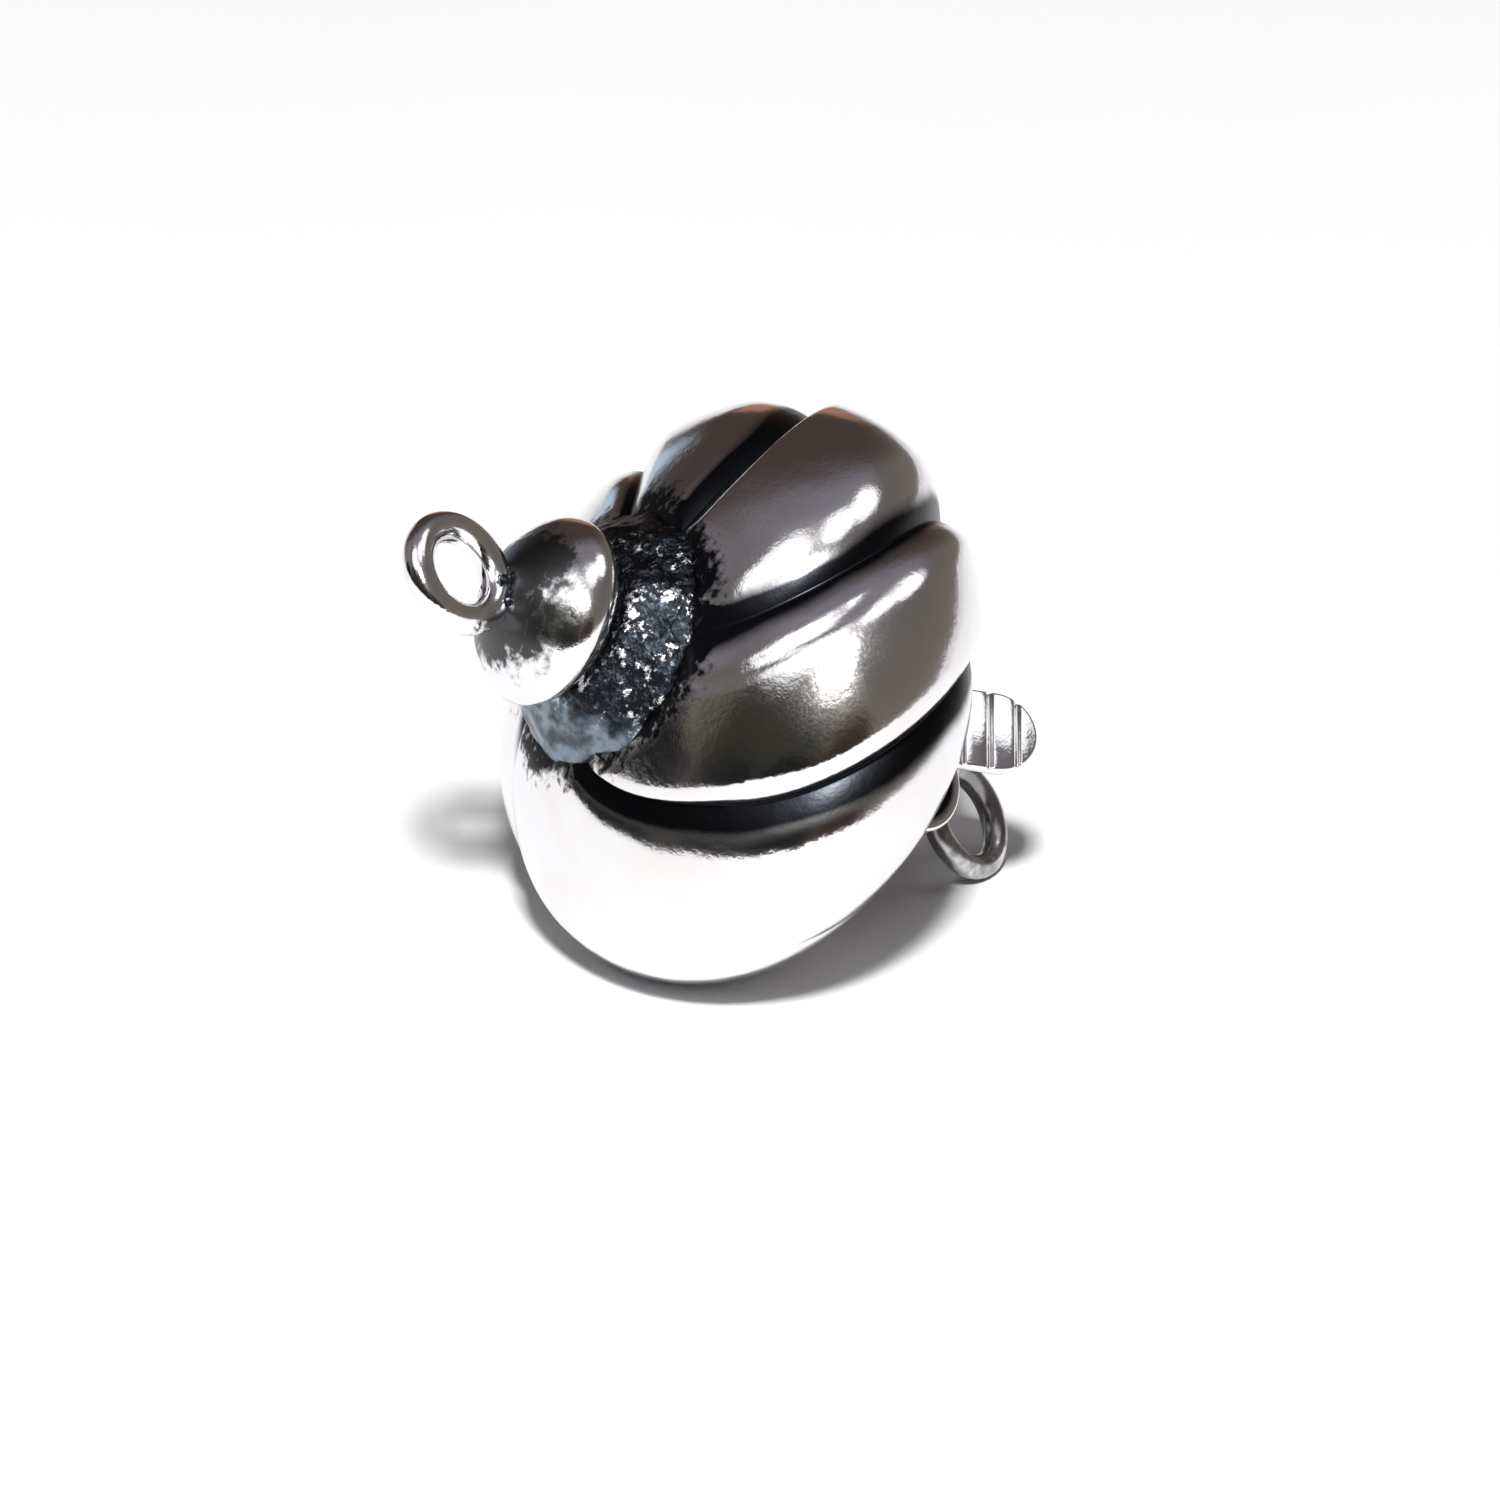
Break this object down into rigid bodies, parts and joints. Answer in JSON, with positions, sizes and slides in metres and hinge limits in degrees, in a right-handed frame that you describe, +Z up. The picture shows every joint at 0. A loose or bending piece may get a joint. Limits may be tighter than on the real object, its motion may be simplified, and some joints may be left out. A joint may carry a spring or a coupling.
{
  "type": "round safety clasp",
  "caption": "Round safety clasp: a hollow twisted-lobe silver ball with a capped ring at one end, and a tongue with a thumb tab and a ring that slides out of the other.",
  "frame": {"origin": "centre of the bounding box's base, on the table that the clasp lies on", "axes": "+Z up, +X along the clasp's length from the cap's ring towards the tongue"},
  "size_m": [0.0164, 0.014, 0.0126],
  "materials": {
    "polished_silver": "polished, dark in the grooves",
    "strip_silver": "polished strip"
  },
  "bodies": {
    "ball": {"ball_shell": "polished_silver"},
    "tongue": {"tongue_plate": "strip_silver"},
    "leaf": {"press_leaf": "strip_silver"}
  },
  "joints": [
    {"name": "tongue_slide", "type": "slide", "parent": "ball", "child": "tongue", "axis": [0.8563, 0, -0.5165], "range_m": [0, 0.0076]},
    {"name": "tab_press", "type": "hinge", "parent": "tongue", "child": "leaf", "pos_m": [-0.00192, 0.00024, 0.00735], "axis": [0.3659, 0.7059, 0.6065], "range_deg": [0, 8], "stiffness_Nm_per_rad": 0.02}
  ]
}
